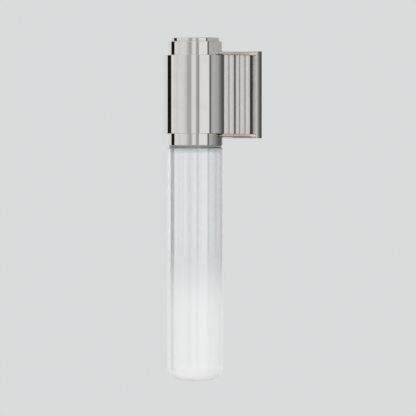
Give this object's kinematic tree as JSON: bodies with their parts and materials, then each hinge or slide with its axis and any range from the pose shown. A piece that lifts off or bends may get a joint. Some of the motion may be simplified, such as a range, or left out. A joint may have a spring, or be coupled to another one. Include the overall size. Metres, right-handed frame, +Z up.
{
  "type": "wall sconce",
  "caption": "Polished metal wall sconce: a stepped cylinder on a reeded bracket and backplate, with a hanging glass tube that is clear above and frosted below.",
  "frame": {"origin": "centre of the backplate's back face, on the wall", "axes": "+Y into the wall, +Z up along the glass tube's axis, +X to the right as seen from the room"},
  "size_m": [0.105, 0.1285, 0.4816],
  "materials": {
    "polished_nickel": "polished nickel plate",
    "zinc_steel": "zinc plated",
    "green_screw": "green paint",
    "bare_aluminium": "machined",
    "black_rubber": "matte",
    "black_spacer": "matte black",
    "clear_silicone": "translucent silicone",
    "white_board": "white solder mask",
    "yellow_phosphor": "phosphor gel",
    "bright_reflector": "metallised",
    "lens_plastic": "satin diffuser",
    "driver_case": "moulded",
    "white_cable": "satin",
    "tube_glass": "clear above, frosted below"
  },
  "bodies": {
    "fixture": {"wall_strap": "zinc_steel", "ground_screw": "green_screw", "backplate": "polished_nickel", "backplate_screws": "polished_nickel", "plate_bush": "black_rubber", "plate_spacer": "black_spacer", "bracket_body": "polished_nickel", "bracket_top_cap": "polished_nickel", "bracket_bottom_cap": "polished_nickel", "cap_screws": "polished_nickel", "bracket_bolts": "zinc_steel", "sleeve": "polished_nickel", "saddle_plate": "bare_aluminium", "clamp_screws": "zinc_steel", "holder_tube": "polished_nickel", "top_cap": "polished_nickel", "top_cap_nut": "zinc_steel", "heat_sink": "bare_aluminium", "led_board": "white_board", "board_screws": "zinc_steel", "led_emitter": "yellow_phosphor", "reflector": "bright_reflector", "lens": "lens_plastic", "lens_seal": "clear_silicone", "fitter_ring": "bare_aluminium", "driver": "driver_case", "driver_screws": "zinc_steel", "led_lead": "white_cable", "tube_bush": "black_rubber"},
    "gasket": {"glass_gasket": "clear_silicone"},
    "glass": {"glass_tube": "tube_glass"}
  },
  "joints": [
    {"name": "glass_drop", "type": "slide", "parent": "fixture", "child": "gasket", "axis": [0, 0, -1], "range_m": [0, 0.009]},
    {"name": "glass_twist", "type": "hinge", "parent": "gasket", "child": "glass", "pos_m": [0, -0.0845, -0.0728], "axis": [0, 0, -1], "range_deg": [0, 540]}
  ],
  "couplings": [
    {"joint": "glass_drop", "follows": "glass_twist", "m_per_rad": 0.00095493}
  ]
}
